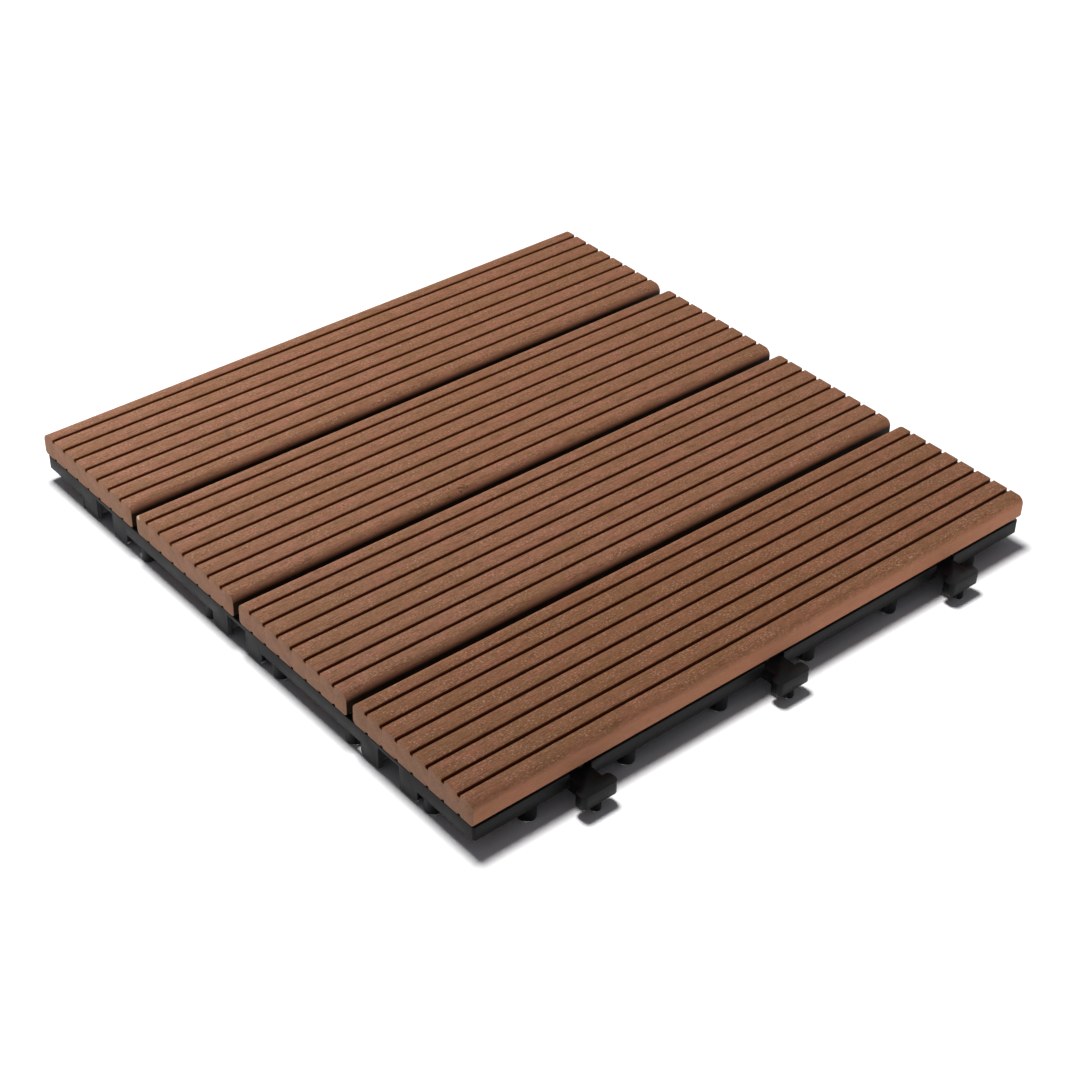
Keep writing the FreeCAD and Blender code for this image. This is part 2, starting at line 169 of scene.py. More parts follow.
def spread(tree, value, low, high, new_low=0.0, new_high=1.0):
    node = add_node(tree, "ShaderNodeMapRange", clamp=True)
    node.inputs["From Min"].default_value = low
    node.inputs["From Max"].default_value = high
    node.inputs["To Min"].default_value = new_low
    node.inputs["To Max"].default_value = new_high
    tree.links.new(value, node.inputs["Value"])
    return node.outputs["Result"]


def blend_colours(tree, mask, first, second, mode="MIX"):
    mix = add_node(tree, "ShaderNodeMix", data_type="RGBA", blend_type=mode)
    for socket, value in ((mix.inputs[6], first), (mix.inputs[7], second)):
        if isinstance(value, tuple):
            socket.default_value = (*value, 1)
        else:
            tree.links.new(value, socket)
    tree.links.new(mask, mix.inputs[0])
    return mix.outputs[2]


def maths(tree, operation, first, second):
    node = add_node(tree, "ShaderNodeMath", operation=operation)
    for socket, value in zip(node.inputs, (first, second)):
        if isinstance(value, float):
            socket.default_value = value
        else:
            tree.links.new(value, socket)
    return node.outputs[0]


def add_bump(tree, shader, height, depth):
    bump = add_node(tree, "ShaderNodeBump")
    bump.inputs["Distance"].default_value = depth
    tree.links.new(height, bump.inputs["Height"])
    tree.links.new(bump.outputs["Normal"], shader.inputs["Normal"])


# %% [markdown]
# ## Fibre pattern
# Wood flour and plastic are pressed through a die, so the fibres lie along the slat as short pale
# flecks and thin dark streaks. One node group draws them as masks, for the tread as well as for
# the grooves and the sawn ends. Each pattern is a noise with a stretch along X, Y and Z, a scale in
# blobs a millimetre, its detail, and the two values between which it fades in. Flecks and specks
# come in crowds, so a slower noise thins them out.

# %% Fibre patterns
PATTERNS = {
    "Flecks": ((0.80, 2.0, 2.0), 1.00, 2.0, (0.54, 0.68)),
    "Specks": ((1.00, 1.6, 1.6), 0.95, 1.0, (0.68, 0.76)),
    "Streaks": ((0.16, 1.6, 1.6), 0.80, 3.0, (0.48, 0.68)),
    "Patches": ((0.30, 1.0, 1.0), 0.14, 3.0, (0.38, 0.62)),
    "Hue": ((0.50, 1.0, 1.0), 0.45, 2.0, (0.42, 0.62)),
}
CROWDED = ("Flecks", "Specks")
CROWD_STRETCH = (0.35, 1.0, 1.0)
CROWD_SCALE = 0.16
CROWD_FADE = (0.42, 0.60, 0.35, 1.0)
GRAIN_STRETCH = (0.45, 1.9, 1.9)
GRAIN_SCALE = 1.3


# %% Fibre group
def stretched(group, vector, stretch):
    node = add_node(group, "ShaderNodeVectorMath", operation="MULTIPLY")
    node.inputs[1].default_value = stretch
    group.links.new(vector, node.inputs[0])
    return node.outputs["Vector"]


def make_fibre_group():
    group = bpy.data.node_groups.new("composite fibres", "ShaderNodeTree")
    face = group.interface
    face.new_socket("Vector", in_out="INPUT", socket_type="NodeSocketVector")
    for name in (*PATTERNS, "Grain"):
        face.new_socket(name, in_out="OUTPUT", socket_type="NodeSocketFloat")
    start = add_node(group, "NodeGroupInput")
    end = add_node(group, "NodeGroupOutput")
    vector = start.outputs["Vector"]

    crowd = noise(group, stretched(group, vector, CROWD_STRETCH), CROWD_SCALE)
    crowd = spread(group, crowd, *CROWD_FADE)
    for name, (stretch, scale, detail, fade) in PATTERNS.items():
        pattern = noise(group, stretched(group, vector, stretch), scale, detail)
        pattern = spread(group, pattern, *fade)
        if name in CROWDED:
            pattern = maths(group, "MULTIPLY", pattern, crowd)
        group.links.new(pattern, end.inputs[name])
    grain = stretched(group, vector, GRAIN_STRETCH)
    grain = noise(group, grain, GRAIN_SCALE, detail=3.0, roughness=0.7)
    group.links.new(grain, end.inputs["Grain"])
    return group


fibre_group = make_fibre_group()
print("nodes in the fibre group:", len(fibre_group.nodes))


def add_fibres(tree, stretch):
    fibres = add_node(tree, "ShaderNodeGroup", node_tree=fibre_group)
    tree.links.new(place_of(tree, stretch), fibres.inputs["Vector"])
    return fibres.outputs


# %% [markdown]
# ## Composite
# The tread is a reddish brown that wanders between pinker and yellower along each slat. Pale flecks
# sit in it, and brushing leaves fine streaks along X. Low on the sides the slat was never brushed,
# so it is smoother and pinker there. The grooves keep the darker skin of the extrusion, and their
# colour is darkened further as painted shade inside the recess.

# %% Composite colours
COMPOSITE_PINK = (0.300, 0.129, 0.078)
COMPOSITE_TAN = (0.250, 0.117, 0.058)
COMPOSITE_OLIVE = (0.216, 0.115, 0.060)
COMPOSITE_DARK = (0.095, 0.033, 0.014)
COMPOSITE_FLECK = (0.52, 0.285, 0.195)
COMPOSITE_SPECK = (0.62, 0.37, 0.25)
MOTTLE_TINT = (0.84, 0.82, 0.80)
# Groove colour: partly the die's darker skin, partly painted shade inside the grooves.
GROOVE_SHADED_SKIN = (0.150, 0.036, 0.004)
GROOVE_TINT = (0.52, 0.48, 0.50)
# Colour of the painted shade beside a gap between slats.
PAINTED_SHADE_BLACK = (0.016, 0.008, 0.003)
PER_MM = (1000.0, 1000.0, 1000.0)
MATT = 0.09


def coordinate(tree, axis):
    place = add_node(tree, "ShaderNodeTexCoord")
    split = add_node(tree, "ShaderNodeSeparateXYZ")
    tree.links.new(place.outputs["Object"], split.inputs[0])
    return split.outputs[axis]


def add_tint(tree, colour, axis, start, stop, tint):
    mask = spread(tree, coordinate(tree, axis), start, stop)
    return blend_colours(tree, mask, colour, tint, mode="MULTIPLY")


def add_layers(tree, colour, fibres, layers, fade=None):
    for name, strength, tint in layers:
        amount = maths(tree, "MULTIPLY", fibres[name], strength)
        if fade is not None:
            amount = maths(tree, "MULTIPLY", amount, fade)
        colour = blend_colours(tree, amount, colour, tint)
    return colour


# %% [markdown]
# ## Marks
# A few marks make this tile the one in the picture: a grey water mark on one slat, a patch of small
# brown spots by an edge, and a pale chip at a corner. Each is a soft ellipse round a named place,
# given by its middle, its reach along each axis, and its turn.

# %% Marks
WATER_MARK = ((-0.0873, 0.1000, 0.025), (0.0012, 0.0038, 0.004), math.radians(-23))
SPOTTED_PATCH = ((-0.0355, 0.0050, 0.0245), (0.0075, 0.0042, 0.004), 0)
PALE_CHIP = ((-0.150, 0.0724, 0.0238), (0.0010, 0.0012, 0.0015), 0)
SOFT_RIM = (1.15, 0.7)
WATER_GREY = (0.125, 0.068, 0.050)
WATER_STRENGTH = 0.6
SPOT_BROWN = (0.10, 0.036, 0.016)
SPOT_STRENGTH = 0.8
SPOT_SCALE = 0.75
SPOT_FADE = (0.55, 0.62)
CHIP_CREAM = (0.46, 0.33, 0.20)


def ellipse(tree, mark):
    middle, reach, turn = mark
    place = add_node(tree, "ShaderNodeTexCoord")
    moved = add_node(tree, "ShaderNodeMapping", vector_type="TEXTURE")
    moved.inputs["Location"].default_value = middle
    moved.inputs["Scale"].default_value = reach
    moved.inputs["Rotation"].default_value = (0, 0, turn)
    tree.links.new(place.outputs["Object"], moved.inputs["Vector"])
    length = add_node(tree, "ShaderNodeVectorMath", operation="LENGTH")
    tree.links.new(moved.outputs["Vector"], length.inputs[0])
    return spread(tree, length.outputs["Value"], *SOFT_RIM)


def add_marks(tree, colour):
    water = maths(tree, "MULTIPLY", ellipse(tree, WATER_MARK), WATER_STRENGTH)
    colour = blend_colours(tree, water, colour, WATER_GREY)
    spots = noise(tree, place_of(tree, PER_MM), SPOT_SCALE, detail=1.0)
    spots = spread(tree, spots, *SPOT_FADE)
    spots = maths(tree, "MULTIPLY", spots, ellipse(tree, SPOTTED_PATCH))
    spots = maths(tree, "MULTIPLY", spots, SPOT_STRENGTH)
    colour = blend_colours(tree, spots, colour, SPOT_BROWN)
    return blend_colours(tree, ellipse(tree, PALE_CHIP), colour, CHIP_CREAM)


# %% [markdown]
# ## Brushed composite
# The tread's recipe starts with the wandering brown, then darkens it in a fine mottle. Two tints
# follow: the tile grows warmer along X, which leaves a painted pale sheen on the left end, and the
# front slat came from a browner batch. Streaks, flecks and specks go on top, and fade out below the
# rounded edge. Beside a gap between two slats the composite is painted darker lower down, into
# black, as painted shade where hardly any light gets down.

# %% Brushed composite
MOTTLE_FADE = (0.36, 0.64)
SMOOTH_HEIGHTS = (24.9 * MM, 22.6 * MM)
SMOOTHED_AWAY = 0.8
SMOOTH_PINK = 0.47
BRUSHED_ROUGHNESS = (0.3, 0.7, 0.6, 0.8)
# Heights between which the composite beside a gap is painted into black, as painted shade.
PAINTED_SHADE_HEIGHTS = (23.4 * MM, 21.4 * MM)
# Painted sheen: the left end stays paler and greyer, and the colour warms towards +X.
SHEEN_GRADIENT_SPAN = (-150 * MM, 150 * MM)
SHEEN_GRADIENT_TINT = (0.99, 0.93, 0.85)
FRONT_SLAT = (-74.8 * MM, -75.6 * MM)
FRONT_TINT = (0.90, 0.86, 0.78)
FIBRE_LAYERS = (
    ("Streaks", 0.52, COMPOSITE_DARK),
    ("Flecks", 0.65, COMPOSITE_FLECK),
    ("Specks", 0.46, COMPOSITE_SPECK),
)
FIBRE_DEPTH = 0.16 * MM


def make_brushed(name, paint_gap_shade):
    material, tree, shader = new_material(name)
    fibres = add_fibres(tree, PER_MM)
    colour = blend_colours(tree, fibres["Patches"], COMPOSITE_TAN, COMPOSITE_PINK)
    colour = add_layers(tree, colour, fibres, [("Hue", 0.6, COMPOSITE_OLIVE)])
    mottle = spread(tree, fibres["Grain"], *MOTTLE_FADE)
    colour = blend_colours(tree, mottle, colour, MOTTLE_TINT, mode="MULTIPLY")
    # Painted sheen along X: paler on the left, warmer on the right.
    colour = add_tint(tree, colour, "X", *SHEEN_GRADIENT_SPAN, SHEEN_GRADIENT_TINT)
    colour = add_tint(tree, colour, "Y", *FRONT_SLAT, FRONT_TINT)
    smooth = spread(tree, coordinate(tree, "Z"), *SMOOTH_HEIGHTS)
    pinker = maths(tree, "MULTIPLY", smooth, SMOOTH_PINK)
    colour = blend_colours(tree, pinker, colour, COMPOSITE_PINK)
    rough = maths(tree, "SUBTRACT", 1.0, maths(tree, "MULTIPLY", smooth, SMOOTHED_AWAY))
    colour = add_layers(tree, colour, fibres, FIBRE_LAYERS, fade=rough)
    colour = add_marks(tree, colour)
    # Painted shade: beside a gap the colour runs into black lower down.
    if paint_gap_shade:
        depth = spread(tree, coordinate(tree, "Z"), *PAINTED_SHADE_HEIGHTS)
        colour = blend_colours(tree, depth, colour, PAINTED_SHADE_BLACK)
    tree.links.new(colour, shader.inputs["Base Color"])
    roughness = spread(tree, fibres["Grain"], *BRUSHED_ROUGHNESS)
    tree.links.new(roughness, shader.inputs["Roughness"])
    shader.inputs["Specular IOR Level"].default_value = MATT
    add_bump(tree, shader, fibres["Grain"], FIBRE_DEPTH)
    return material


# %% [markdown]
# ## Groove skin, painted groove shade and sawn ends
# No brush reaches the grooves, so they keep the dark skin that the die left, and their colour is
# also painted darker as painted shade inside the recess, darker still towards the front. The saw
# cuts the fibres across, so a sawn end is duller, pinker and almost plain.

# %% Groove skin and painted groove shade
DARKER_AHEAD = (80 * MM, -120 * MM)


def make_groove_shaded_skin():
    material, tree, shader = new_material("groove shade and skin")
    fibres = add_fibres(tree, PER_MM)
    # The groove colour is partly the die's skin and partly painted shade.
    colour = add_layers(tree, GROOVE_SHADED_SKIN, fibres, [("Patches", 0.35, COMPOSITE_DARK)])
    colour = add_tint(tree, colour, "Y", *DARKER_AHEAD, GROOVE_TINT)
    tree.links.new(colour, shader.inputs["Base Color"])
    shader.inputs["Roughness"].default_value = 0.8
    shader.inputs["Specular IOR Level"].default_value = MATT
    return material


# %% Sawn composite
SAWN_PINK = (0.205, 0.106, 0.072)
SAWN_GREY = (0.175, 0.099, 0.064)
SAWN_LAYERS = (
    ("Hue", 0.5, COMPOSITE_TAN),
    ("Streaks", 0.3, COMPOSITE_DARK),
    ("Flecks", 0.16, COMPOSITE_FLECK),
)
SAW_DEPTH = 0.06 * MM


def make_sawn():
    material, tree, shader = new_material("sawn composite")
    fibres = add_fibres(tree, PER_MM)
    colour = blend_colours(tree, fibres["Patches"], SAWN_GREY, SAWN_PINK)
    colour = add_layers(tree, colour, fibres, SAWN_LAYERS)
    tree.links.new(add_marks(tree, colour), shader.inputs["Base Color"])
    shader.inputs["Roughness"].default_value = 0.75
    shader.inputs["Specular IOR Level"].default_value = MATT
    add_bump(tree, shader, fibres["Grain"], SAW_DEPTH)
    return material


brushed_composite = make_brushed("brushed composite", False)
composite_with_painted_shade = make_brushed("composite with painted gap shade", True)
groove_shaded_skin = make_groove_shaded_skin()
sawn_composite = make_sawn()
print("nodes in the brushed composite:", len(brushed_composite.node_tree.nodes))

# %% [markdown]
# ## Slats
# A slat comes out of a die, so the lesson makes it like that. The die is one flat face the size of
# the slat's end. Cuts mark out the grooves, the squares inside them are deleted, and the rest is
# joined to one face with rounded corners. Pushing that face along X makes the whole slat, and a
# tiny bevel round both ends stands for the saw's burr being wiped off. Each face then gets one of
# four finishes: brushed, sawn, groove skin with painted shade, or the composite with painted shade
# beside a gap.

# %% Slat sizes
SLATS = range(1, 5)
GROOVE_COUNT = 7
GROOVE_PITCH = 9.2 * MM
GROOVE_WIDTH = 1.7 * MM
GROOVE_DEPTH = 1.5 * MM
KEEL_DEPTH = 0.9 * MM
NOSE_RADIUS = 3.5 * MM
HEEL_RADIUS = 1.8 * MM
LIP_RADIUS = 0.3 * MM
GROOVE_CORNER = 0.15 * MM
SAWN_EDGE = 0.12 * MM
OUTER_SIDE = 140 * MM
STRAIGHT = 0.01
GROOVE_MIDDLES = [(k - (GROOVE_COUNT - 1) / 2) * GROOVE_PITCH for k in range(GROOVE_COUNT)]


def in_groove(across, up, thickness):
    nearest = min(abs(across - middle) for middle in GROOVE_MIDDLES)
    cut_away = up > thickness - GROOVE_DEPTH or up < KEEL_DEPTH
    return nearest < GROOVE_WIDTH / 2 and cut_away


# %% The slat's die
def make_die(width, thickness):
    bm = bmesh.new()
    bmesh.ops.create_grid(bm, x_segments=1, y_segments=1, size=0.5)
    bmesh.ops.translate(bm, verts=bm.verts, vec=(0, 0.5, 0))
    bmesh.ops.scale(bm, verts=bm.verts, vec=(width, thickness, 1))
    for middle in GROOVE_MIDDLES:
        for wall in (-GROOVE_WIDTH / 2, GROOVE_WIDTH / 2):
            cut(bm, (middle + wall, 0, 0), (1, 0, 0))
    for floor in (KEEL_DEPTH, thickness - GROOVE_DEPTH):
        cut(bm, (0, floor, 0), (0, 1, 0))
    waste = []
    for face in bm.faces:
        middle = face.calc_center_median()
        if in_groove(middle.x, middle.y, thickness):
            waste.append(face)
    bmesh.ops.delete(bm, geom=waste, context="FACES")
    bmesh.ops.dissolve_faces(bm, faces=bm.faces[:])
    bmesh.ops.dissolve_limit(bm, angle_limit=STRAIGHT, verts=bm.verts[:], edges=bm.edges[:])
    return bm


def round_die(bm, width, thickness):
    nose, heel, lips, deep = [], [], [], []
    for corner in bm.verts:
        at_side = abs(abs(corner.co.x) - width / 2) < NOSE_RADIUS
        at_top = corner.co.y > thickness - GROOVE_DEPTH / 2
        if at_side:
            (nose if at_top else heel).append(corner)
        else:
            (lips if at_top else deep).append(corner)
    round_corners(bm, nose, NOSE_RADIUS, 10)
    round_corners(bm, heel, HEEL_RADIUS, 6)
    round_corners(bm, lips, LIP_RADIUS, 3)
    round_corners(bm, deep, GROOVE_CORNER, 2)


# %% Slats
BRUSHED, SAWN, GROOVE_SHADE_FINISH, SHADED_GAP_FINISH = range(4)
SLAT_FINISHES = [brushed_composite, sawn_composite, groove_shaded_skin, composite_with_painted_shade]


def build_slat(number):
    node = f"slat_{number}"
    low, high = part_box(node)
    width, thickness, length = high.y - low.y, high.z - low.z, high.x - low.x
    bm = make_die(width, thickness)
    round_die(bm, width, thickness)
    middle = (low.y + high.y) / 2
    stand = Matrix(((0, 0, 1, low.x), (1, 0, 0, middle), (0, 1, 0, low.z), (0, 0, 0, 1)))
    bmesh.ops.transform(bm, matrix=stand, verts=bm.verts)
    pushed = bmesh.ops.extrude_face_region(bm, geom=bm.faces[:])["geom"]
    far = [item for item in pushed if isinstance(item, bmesh.types.BMVert)]
    bmesh.ops.translate(bm, verts=far, vec=(length, 0, 0))
    bmesh.ops.recalc_face_normals(bm, faces=bm.faces)

    rims = [edge for edge in bm.edges if edge.is_manifold and is_end_edge(edge)]
    round_edges(bm, rims, SAWN_EDGE, 2)
    for face in bm.faces:
        face.material_index = slat_finish(face, low, high)
    finish_piece(bm, f"brushed_slat_{number}", node, SLAT_FINISHES)


def is_end_edge(edge):
    return sum(abs(face.normal.x) > 0.9 for face in edge.link_faces) == 1


def slat_finish(face, low, high):
    middle = face.calc_center_median()
    if abs(face.normal.x) > 0.5:
        return SAWN
    across = middle.y - (low.y + high.y) / 2
    beside_gap = abs(across) > GROOVE_MIDDLES[-1] + GROOVE_WIDTH
    # Faces beside a gap get the composite with painted shade.
    if beside_gap and abs(middle.y) < OUTER_SIDE:
        return SHADED_GAP_FINISH
    below_lip = middle.z < high.z - LIP_RADIUS * 1.5
    above_bottom = middle.z > low.z + KEEL_DEPTH * 2
    return GROOVE_SHADE_FINISH if below_lip and not beside_gap and above_bottom else BRUSHED


for number in SLATS:
    build_slat(number)

# %% [markdown]
# ## Moulded plastic
# The grid is black polypropylene. Its skin is finely stippled by the mould, a little uneven in
# gloss, and dust settles on it in pale specks.

# %% Plastic
PLASTIC_BLACK = (0.0036, 0.0036, 0.0037)
PLASTIC_WORN = (0.0065, 0.0065, 0.0068)
PLASTIC_DUST = (0.07, 0.066, 0.062)
PLASTIC_GLOSS = 0.10
PLASTIC_ROUGHNESS = (0.3, 0.7, 0.36, 0.55)
CLOUD_SCALE = 0.06
CLOUD_FADE = (0.4, 0.7)
STIPPLE_SCALE = 3.2
STIPPLE_DEPTH = 0.03 * MM
DUST_SCALE = 1.4
DUST_FADE = (0.72, 0.80)
DUST_STRENGTH = 0.5


def make_plastic():
    material, tree, shader = new_material("moulded plastic")
    place = place_of(tree, PER_MM)
    cloud = noise(tree, place, CLOUD_SCALE, detail=4.0)
    stipple = noise(tree, place, STIPPLE_SCALE)
    worn = spread(tree, cloud, *CLOUD_FADE)
    colour = blend_colours(tree, worn, PLASTIC_BLACK, PLASTIC_WORN)
    dust = spread(tree, noise(tree, place, DUST_SCALE, detail=1.0), *DUST_FADE)
    dust = maths(tree, "MULTIPLY", dust, DUST_STRENGTH)
    colour = blend_colours(tree, dust, colour, PLASTIC_DUST)
    tree.links.new(colour, shader.inputs["Base Color"])
    tree.links.new(spread(tree, cloud, *PLASTIC_ROUGHNESS), shader.inputs["Roughness"])
    shader.inputs["Specular IOR Level"].default_value = PLASTIC_GLOSS
    add_bump(tree, shader, stipple, STIPPLE_DEPTH)
    return material


moulded_plastic = make_plastic()
print("nodes in the plastic:", len(moulded_plastic.node_tree.nodes))

# %% [markdown]
# ## Grid
# The grid's CAD mesh already has every rib and clip in its place, but its edges are razor sharp and
# a moulding never is. So the grid is a copy of that mesh. Its loose triangles are merged, and cuts
# through the middle of every cell keep the merged faces small. The feet and the pegs under the tabs
# get their domed tips, and then every sharp edge gets a small round that catches the light.

# %% Grid
MERGE_DISTANCE = 0.002 * MM
FOOT_ROUND = 0.8 * MM
PEG_ROUND = 0.5 * MM
EDGE_ROUND = 0.15 * MM
ON_GROUND = 0.05 * MM
GRID_CELLS = 12
GRID_CELL = 24.283 * MM
FLAT = math.radians(0.5)
CORNER = math.radians(35)


def is_sharp(edge):
    return edge.is_manifold and edge.calc_face_angle(0) > CORNER


def tip_edges(bm):
    pegs, feet = [], []
    half = min(-min(v.co.x for v in bm.verts), max(v.co.y for v in bm.verts))
    for edge in bm.edges:
        if max(v.co.z for v in edge.verts) < ON_GROUND and is_sharp(edge):
            middle = (edge.verts[0].co + edge.verts[1].co) / 2
            outside = max(middle.x, -middle.y) > half
            (pegs if outside else feet).append(edge)
    return feet, pegs


def build_grid():
    bm = bmesh.new()
    bm.from_mesh(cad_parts["base_grid"].data)
    bmesh.ops.remove_doubles(bm, verts=bm.verts, dist=MERGE_DISTANCE)
    bmesh.ops.dissolve_limit(bm, angle_limit=FLAT, verts=bm.verts[:], edges=bm.edges[:])
    for k in range(GRID_CELLS):
        middle = (k - (GRID_CELLS - 1) / 2) * GRID_CELL
        cut(bm, (middle, 0, 0), (1, 0, 0))
        cut(bm, (0, middle, 0), (0, 1, 0))
    feet, pegs = tip_edges(bm)
    print("foot edges:", len(feet), "peg edges:", len(pegs))
    round_edges(bm, feet, FOOT_ROUND, 4)
    feet, pegs = tip_edges(bm)
    round_edges(bm, pegs, PEG_ROUND, 3)
    round_edges(bm, [edge for edge in bm.edges if is_sharp(edge)], EDGE_ROUND, 2)
    finish_piece(bm, "moulded_grid", "base_grid", [moulded_plastic])


build_grid()

# %% [markdown]
# ## Screws
# The screws show only from below, sunk in their bosses. Each starts as three cylinders: a head, a
# core and a tip. The head's edge is rounded, a cross is pressed into it, and a small triangle spun
# up along the core in a screw line makes the thread. Each screw stops at another turn, as screws do.
# Bright zinc is a metal with a cloudy gloss.

# %% Zinc
ZINC_BLUE = (0.42, 0.42, 0.43)
ZINC_PALE = (0.62, 0.61, 0.58)
ZINC_SCALE = 0.9
ZINC_ROUGHNESS = (0.3, 0.7, 0.28, 0.45)


def make_zinc():
    material, tree, shader = new_material("zinc plate")
    cloud = noise(tree, place_of(tree, PER_MM), ZINC_SCALE, detail=3.0)
    shader.inputs["Metallic"].default_value = 1.0
    colour = blend_colours(tree, cloud, ZINC_BLUE, ZINC_PALE)
    tree.links.new(colour, shader.inputs["Base Color"])
    tree.links.new(spread(tree, cloud, *ZINC_ROUGHNESS), shader.inputs["Roughness"])
    return material


zinc = make_zinc()
print("nodes in the zinc:", len(zinc.node_tree.nodes))

# %% Screw sizes
HEAD_RADIUS = 3.8 * MM
HEAD_HEIGHT = 2.6 * MM
HEAD_ROUND = 1.3 * MM
CROSS_WIDTH = 0.9 * MM
CROSS_REACH = 3.6 * MM
CROSS_DEPTH = 1.5 * MM
CROSS_TAPER = 0.7
CORE_RADIUS = 1.4 * MM
THREAD_RADIUS = 1.95 * MM
THREAD_PITCH = 1.4 * MM
RIDGE_RADIUS = 0.56 * MM
TIP_LENGTH = 2.4 * MM
ROUND_SIDES = 32
TURN_STEPS = 20
NEXT_TURN = 1.3


# %% A cylinder or cone standing on a level
def add_cone(bm, bottom, top, low_radius, high_radius):
    made = bmesh.ops.create_cone(
        bm, cap_ends=True, segments=ROUND_SIDES, radius1=low_radius, radius2=high_radius,
        depth=top - bottom,
    )["verts"]
    bmesh.ops.translate(bm, verts=made, vec=(0, 0, (bottom + top) / 2))
    return made


# %% Head
def add_head(bm):
    add_cone(bm, 0, HEAD_HEIGHT, HEAD_RADIUS, HEAD_RADIUS)
    rim = [edge for edge in bm.edges if max(v.co.z for v in edge.verts) < HEAD_HEIGHT / 2]
    round_edges(bm, rim, HEAD_ROUND, 6)
    for reach in (-CROSS_REACH / 2, -CROSS_WIDTH / 2, CROSS_WIDTH / 2, CROSS_REACH / 2):
        cut(bm, (reach, 0, 0), (1, 0, 0))
        cut(bm, (0, reach, 0), (0, 1, 0))
    cross = []
    for face in bm.faces:
        middle = face.calc_center_median()
        near, far = sorted((abs(middle.x), abs(middle.y)))
        if face.normal.z < -0.9 and near < CROSS_WIDTH / 2 and far < CROSS_REACH / 2:
            cross.append(face)
    sunk = bmesh.ops.extrude_face_region(bm, geom=cross)["geom"]
    bmesh.ops.delete(bm, geom=cross, context="FACES")
    floor_corners = [item for item in sunk if isinstance(item, bmesh.types.BMVert)]
    bmesh.ops.translate(bm, verts=floor_corners, vec=(0, 0, CROSS_DEPTH))
    bmesh.ops.scale(bm, verts=floor_corners, vec=(CROSS_TAPER, CROSS_TAPER, 1))


# %% Thread
def add_thread(bm, top):
    ridge = bmesh.ops.create_circle(bm, cap_ends=True, segments=3, radius=RIDGE_RADIUS)["verts"]
    for axis in ("X", "Y"):
        bmesh.ops.rotate(bm, verts=ridge, matrix=Matrix.Rotation(math.radians(90), 3, axis))
    reach = max(corner.co.x for corner in ridge)
    bmesh.ops.translate(bm, verts=ridge, vec=(THREAD_RADIUS - reach, 0, HEAD_HEIGHT + THREAD_PITCH))
    turns = int((top - HEAD_HEIGHT) / THREAD_PITCH) - 2
    face = list(ridge[0].link_faces)
    bmesh.ops.spin(
        bm, geom=face, cent=(0, 0, 0), axis=(0, 0, 1), dvec=(0, 0, THREAD_PITCH / TURN_STEPS),
        angle=math.tau * turns, steps=TURN_STEPS * turns,
    )


# %% Screws
def add_screw(bm, x, y, low, high, turn):
    screw = bmesh.new()
    add_head(screw)
    top = high.z - low.z
    add_thread(screw, top)
    add_cone(screw, HEAD_HEIGHT / 2, top - TIP_LENGTH, CORE_RADIUS, CORE_RADIUS)
    add_cone(screw, top - TIP_LENGTH, top, CORE_RADIUS, CORE_RADIUS / 4)
    place = Matrix.Translation((x, y, low.z)) @ Matrix.Rotation(turn, 4, "Z")
    bmesh.ops.transform(screw, matrix=place, verts=screw.verts)
    mesh = bpy.data.meshes.new("screw")
    screw.to_mesh(mesh)
    screw.free()
    bm.from_mesh(mesh)
    bpy.data.meshes.remove(mesh)


def build_screws(number):
    node = f"slat_{number}_screws"
    low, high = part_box(node)
    bm = bmesh.new()
    turn = float(number)
    for x in (low.x + HEAD_RADIUS, high.x - HEAD_RADIUS):
        for y in (low.y + HEAD_RADIUS, high.y - HEAD_RADIUS):
            add_screw(bm, x, y, low, high, turn)
            turn += NEXT_TURN
    finish_piece(bm, f"zinc_screws_{number}", node, [zinc])


for number in SLATS:
    build_screws(number)

# %% [markdown]
# ## Floor and light
# The tile lies on a white sheet in a light tent. A soft lamp overhead, a little to the back, gives
# the tread its tone. Low lamps in front and at the sides fill the flanks, and light only the tile.
# The floor has a lamp of its own, small enough to leave a dense shadow close round the grid, and
# away from the tile the sheet is plain white to the camera and in reflections. Seen from below it is
# clear, so that the underside can be looked at, with a lamp of its own too.

# %% Floor
FLOOR_SIZE = 6.0
GLOW = (0.32, 0.60)
WHITE = (1.0, 1.0, 1.0)


def background_rays(tree):
    ray = add_node(tree, "ShaderNodeLightPath")
    seen = maths(tree, "MAXIMUM", ray.outputs["Is Camera Ray"], ray.outputs["Is Glossy Ray"])
    return maths(tree, "MAXIMUM", seen, ray.outputs["Is Transmission Ray"])


def make_floor():
    material, tree, shader = new_material("white paper")
    shader.inputs["Base Color"].default_value = (*WHITE, 1)
    place = add_node(tree, "ShaderNodeTexCoord")
    away = add_node(tree, "ShaderNodeVectorMath", operation="LENGTH")
    tree.links.new(place.outputs["Object"], away.inputs[0])
    glow = spread(tree, away.outputs["Value"], *GLOW)
    glow = maths(tree, "MULTIPLY", background_rays(tree), glow)
    tree.links.new(glow, shader.inputs["Emission Strength"])
    shader.inputs["Emission Color"].default_value = (*WHITE, 1)
    side = add_node(tree, "ShaderNodeNewGeometry")
    solid = maths(tree, "SUBTRACT", 1.0, side.outputs["Backfacing"])
    tree.links.new(solid, shader.inputs["Alpha"])
    shader.inputs["Roughness"].default_value = 1.0
    shader.inputs["Specular IOR Level"].default_value = 0.0
    bm = bmesh.new()
    bmesh.ops.create_grid(bm, x_segments=1, y_segments=1, size=FLOOR_SIZE / 2)
    mesh = bpy.data.meshes.new("floor")
    bm.to_mesh(mesh)
    bm.free()
    mesh.materials.append(material)
    floor = bpy.data.objects.new("floor", mesh)
    bpy.context.scene.collection.objects.link(floor)
    return floor


floor = make_floor()
print("floor side in metres:", FLOOR_SIZE)

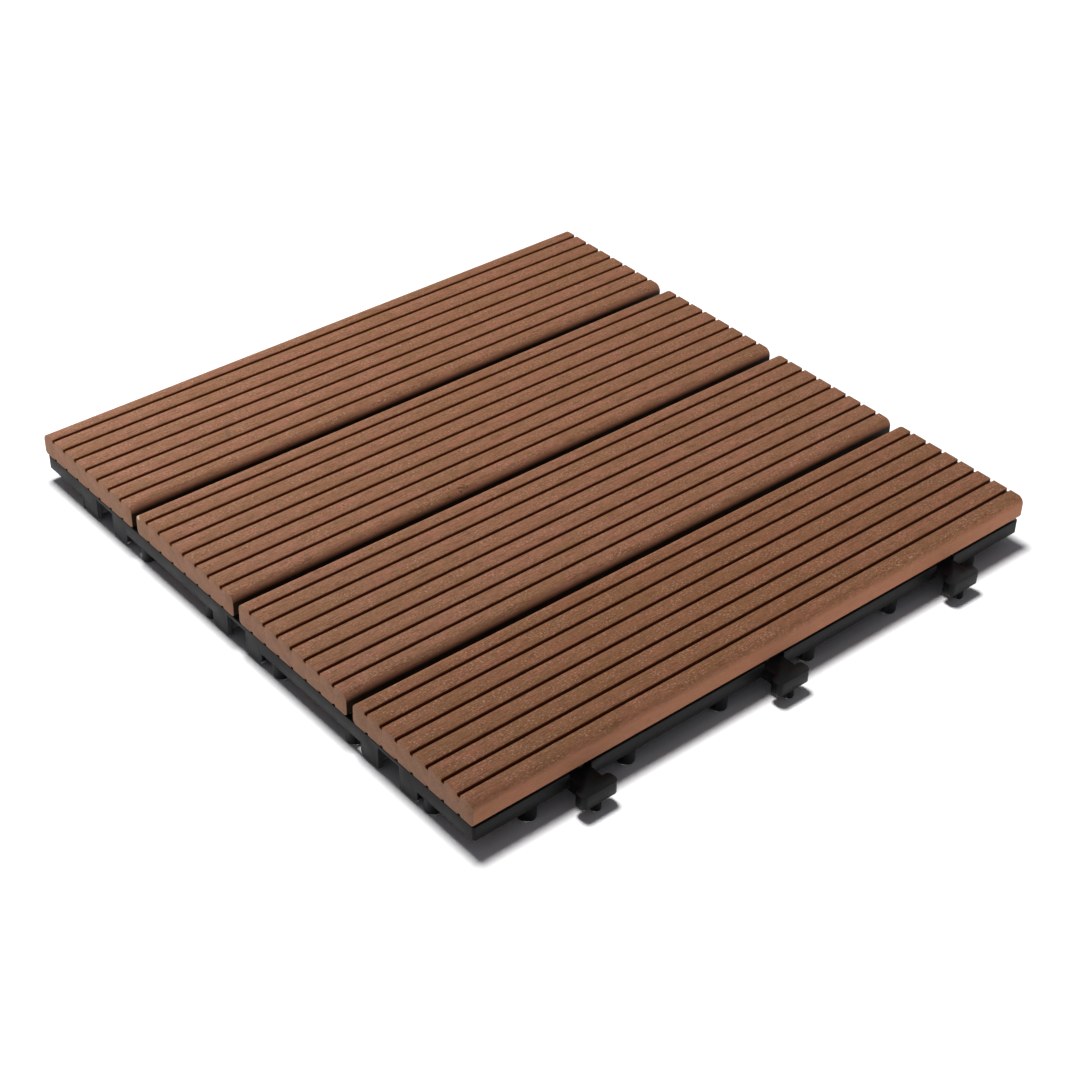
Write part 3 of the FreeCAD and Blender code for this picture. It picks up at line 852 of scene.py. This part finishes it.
# %% [markdown]
# ## World
# The room round the tent gives a weak, slightly blue light from everywhere, which keeps the shadows
# from going black. To the camera and in reflections the same room is plain white.

# %% World
WORLD_LIGHT = 0.12
SHADE_TINT = (0.88, 0.90, 1.0)


def make_world():
    world = bpy.data.worlds.new("studio")
    world.use_nodes = True
    tree = world.node_tree
    back = tree.nodes["Background"]
    seen = background_rays(tree)
    strength = spread(tree, seen, 0.0, 1.0, WORLD_LIGHT, 1.0)
    tree.links.new(strength, back.inputs["Strength"])
    tint = blend_colours(tree, seen, SHADE_TINT, WHITE)
    tree.links.new(tint, back.inputs["Color"])
    bpy.context.scene.world = world


make_world()
print("strength of the world's light:", WORLD_LIGHT)

# %% [markdown]
# ## Lamps
# A round lamp of P watts lights a white sheet at distance d as P over (pi d) squared, so a lamp's
# power is worked out from the brightness it should give. A collection of receivers tells a lamp
# which objects it lights. The lamp below has to shine through the floor, so only the tile can block
# it, and its light stops at the first surface, so that it can't brighten the shadow.

# %% Lamps
def receivers(name, objects):
    group = bpy.data.collections.new(name)
    for item in objects:
        group.objects.link(item)
    return group


def make_lamp(name, place, brightness, size, lit):
    lamp = bpy.data.lights.new(name, "AREA")
    lamp.energy = brightness * (math.pi * place.length) ** 2
    lamp.shape = "DISK"
    lamp.size = size
    holder = bpy.data.objects.new(name, lamp)
    holder.location = place
    holder.rotation_mode = "QUATERNION"
    holder.rotation_quaternion = place.to_track_quat("Z", "Y")
    holder.light_linking.receiver_collection = lit
    bpy.context.scene.collection.objects.link(holder)
    print(name, "watts:", round(lamp.energy, 1))
    return holder


meshes = [item for item in bpy.context.scene.objects if item.type == "MESH"]
pieces = [item for item in meshes if item is not floor]
tile_only = receivers("tile", pieces)
floor_only = receivers("floor only", [floor])
make_lamp("overhead lamp", Vector((-0.22, 0.45, 0.75)), 0.755, 0.45, tile_only)
make_lamp("floor lamp", Vector((-0.06, 0.20, 1.30)), 1.35, 0.38, floor_only)
make_lamp("front fill", Vector((0.35, -0.80, 0.25)), 0.475, 0.5, tile_only)
make_lamp("left fill", Vector((-0.52, 0.40, 0.22)), 0.40, 0.5, tile_only)
make_lamp("right fill", Vector((1.10, 0.20, 0.45)), 0.25, 0.6, tile_only)
make_lamp("back fill", Vector((0.10, 1.15, 0.35)), 0.25, 0.6, tile_only)
below = make_lamp("lamp below", Vector((0.05, 0.08, -1.10)), 0.45, 0.3, tile_only)
below.light_linking.blocker_collection = tile_only
below.data.cycles.max_bounces = 0
bpy.context.scene.view_settings.view_transform = "Standard"
